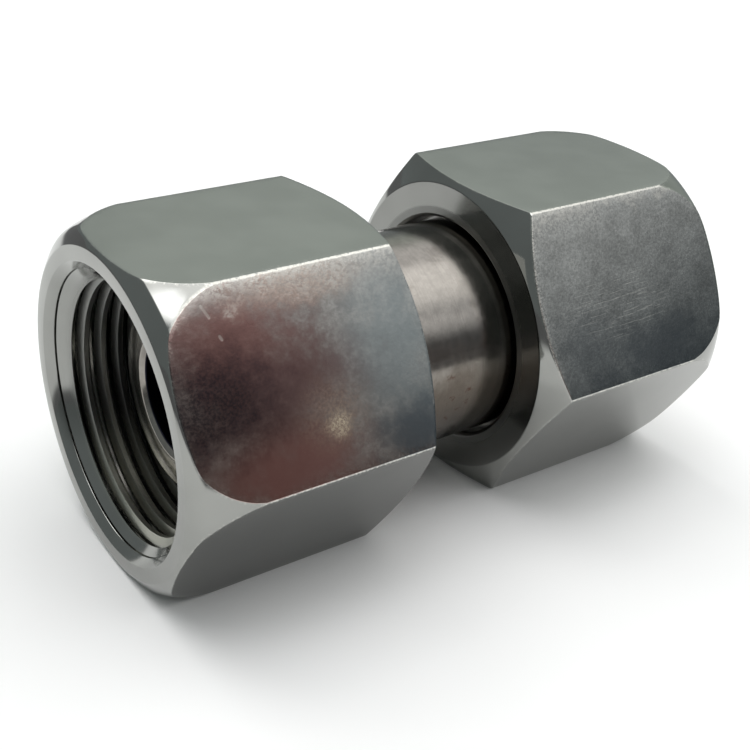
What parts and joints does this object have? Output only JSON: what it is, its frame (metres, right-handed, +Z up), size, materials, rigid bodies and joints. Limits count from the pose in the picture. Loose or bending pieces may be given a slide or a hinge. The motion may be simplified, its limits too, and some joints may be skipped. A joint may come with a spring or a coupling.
{
  "type": "hydraulic union",
  "caption": "Straight hydraulic union: a short bored sleeve with a sealing cone at each end, held inside swivel hexagon nuts with threaded mouths.",
  "frame": {"origin": "the middle of the union, on the axis of its flow bore", "axes": "+X along the flow bore from the left nut to the right nut, +Z up and square to a flat of each nut, the union lying on the opposite flats"},
  "size_m": [0.0534, 0.031, 0.027],
  "materials": {
    "body_steel": "turned steel with brown stains, satin",
    "nut_steel": "bright plated steel, worn at the edges",
    "seal_rubber": "smooth black rubber",
    "wire_steel": "drawn spring wire"
  },
  "bodies": {
    "connector": {"connector_body": "body_steel", "left_seal_ring": "seal_rubber", "right_seal_ring": "seal_rubber", "left_retaining_ring": "wire_steel", "right_retaining_ring": "wire_steel"},
    "left_swivel_nut": {"left_nut": "nut_steel"},
    "right_swivel_nut": {"right_nut": "nut_steel"}
  },
  "joints": [
    {"name": "left_nut_swivel", "type": "hinge", "parent": "connector", "child": "left_swivel_nut", "pos_m": [-0.0161, 0, 0], "axis": [1, 0, 0], "continuous": true},
    {"name": "right_nut_swivel", "type": "hinge", "parent": "connector", "child": "right_swivel_nut", "pos_m": [0.0161, 0, 0], "axis": [1, 0, 0], "continuous": true}
  ]
}
